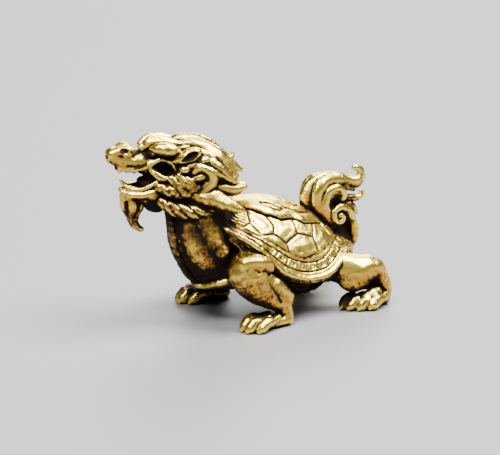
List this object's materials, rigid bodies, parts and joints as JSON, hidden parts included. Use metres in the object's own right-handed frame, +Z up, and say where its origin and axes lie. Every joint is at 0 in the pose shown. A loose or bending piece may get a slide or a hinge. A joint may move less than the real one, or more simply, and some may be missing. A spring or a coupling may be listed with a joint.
{
  "type": "dragon turtle figure",
  "caption": "Small cast brass figure of a dragon-headed turtle standing on clawed paws, with a turned, open-mouthed head, a maned neck, a plated shell and an upright plumed tail.",
  "frame": {"origin": "on the floor under the middle of the figure's box", "axes": "+Z up, -X the way the animal faces, -Y its left side"},
  "size_m": [0.054, 0.0288, 0.0364],
  "materials": {
    "patinated_brass": "antique cast brass: rubbed golden high places, dark brown patina in the hollows"
  },
  "bodies": {
    "root": {"dragon_turtle": "patinated_brass"}
  },
  "joints": []
}
